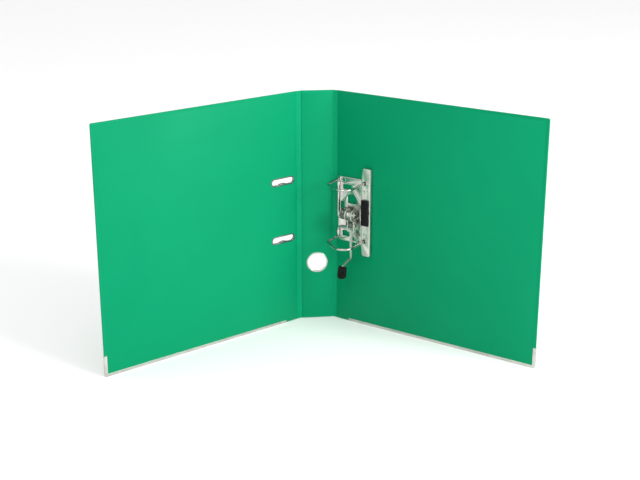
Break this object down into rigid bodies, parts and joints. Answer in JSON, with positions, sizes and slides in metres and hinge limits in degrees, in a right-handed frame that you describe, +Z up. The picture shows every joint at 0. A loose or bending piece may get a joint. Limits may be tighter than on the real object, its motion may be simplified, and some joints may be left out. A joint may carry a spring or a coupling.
{
  "type": "lever arch file",
  "caption": "Stiff board file for punched A4 paper: two covers fold from a narrow spine, a lever opens the arches over two posts, and a sliding bar holds the paper down.",
  "frame": {"origin": "middle of the spine's foot, half way through its thickness and across its width", "axes": "+Z up along the spine, -Y out of the inside of the open file, +X towards the cover that carries the mechanism"},
  "size_m": [0.5294, 0.1821, 0.3183],
  "materials": {
    "board": "matte dense grey board",
    "cover_film": "smooth green film with a fine grain",
    "nickel": "bright nickel plate",
    "black_plastic": "satin black moulding",
    "clear_film": "clear film",
    "card": "matt white card",
    "spring_steel": "drawn spring wire"
  },
  "bodies": {
    "spine": {"spine_board": "board", "spine_lining": "cover_film", "spine_covering": "cover_film", "finger_ring": "nickel", "spine_label_card": "card", "spine_label_pocket": "clear_film"},
    "front_gutter": {"front_gutter_film": "cover_film"},
    "front_cover": {"front_board": "board", "front_lining": "cover_film", "front_covering": "cover_film", "slot_eyelet_upper": "nickel", "slot_eyelet_lower": "nickel", "front_edge_metal": "nickel"},
    "back_gutter": {"back_gutter_film": "cover_film"},
    "back_cover": {"back_board": "board", "back_lining": "cover_film", "back_covering": "cover_film", "back_edge_metal": "nickel", "base_plate": "nickel", "plate_rivets": "nickel", "post_upper": "nickel", "post_lower": "nickel", "lever_pin": "nickel", "arch_spring": "spring_steel"},
    "lever": {"lever_arm": "nickel", "lever_tip": "black_plastic", "roller_pin": "nickel"},
    "roller": {"roller": "nickel"},
    "arch": {"arch_wire": "nickel"},
    "compressor": {"compressor_bar": "nickel"},
    "lock": {"lock_button": "black_plastic", "lock_strip": "nickel"}
  },
  "joints": [
    {"name": "front_gutter_fold", "type": "hinge", "parent": "spine", "child": "front_gutter", "pos_m": [-0.0205, 0, 0.159], "axis": [0, 0, 1], "range_deg": [-20, 40]},
    {"name": "front_cover_fold", "type": "hinge", "parent": "front_gutter", "child": "front_cover", "pos_m": [-0.02802, -0.00274, 0.159], "axis": [0, 0, 1], "range_deg": [-10, 20]},
    {"name": "back_gutter_fold", "type": "hinge", "parent": "spine", "child": "back_gutter", "pos_m": [0.0205, 0, 0.159], "axis": [0, 0, -1], "range_deg": [-25.33, 34.67]},
    {"name": "back_cover_fold", "type": "hinge", "parent": "back_gutter", "child": "back_cover", "pos_m": [0.02773, -0.00342, 0.159], "axis": [0, 0, -1], "range_deg": [-12.67, 17.33]},
    {"name": "lever_turn", "type": "hinge", "parent": "back_cover", "child": "lever", "pos_m": [0.04064, -0.03238, 0.1577], "axis": [0.788, -0.6157, 0], "range_deg": [-75, 0]},
    {"name": "arch_turn", "type": "hinge", "parent": "back_cover", "child": "arch", "pos_m": [0.02741, -0.00952, 0.161], "axis": [0, 0, 1], "range_deg": [-48, 0], "deforming": ["arch_spring"]},
    {"name": "roller_spin", "type": "hinge", "parent": "lever", "child": "roller", "pos_m": [0.04327, -0.02901, 0.1423], "axis": [0.788, -0.6157, 0], "continuous": true},
    {"name": "compressor_slide", "type": "slide", "parent": "back_cover", "child": "compressor", "axis": [-0.6157, -0.788, 0], "range_m": [0, 0.026]},
    {"name": "lock_slide", "type": "slide", "parent": "compressor", "child": "lock", "axis": [0, 0, 1], "range_m": [0, 0.003]}
  ],
  "couplings": [
    {"joint": "front_cover_fold", "follows": "front_gutter_fold", "ratio": 0.5},
    {"joint": "back_cover_fold", "follows": "back_gutter_fold", "ratio": 0.5},
    {"joint": "arch_turn", "follows": "lever_turn", "ratio": 0.64}
  ]
}
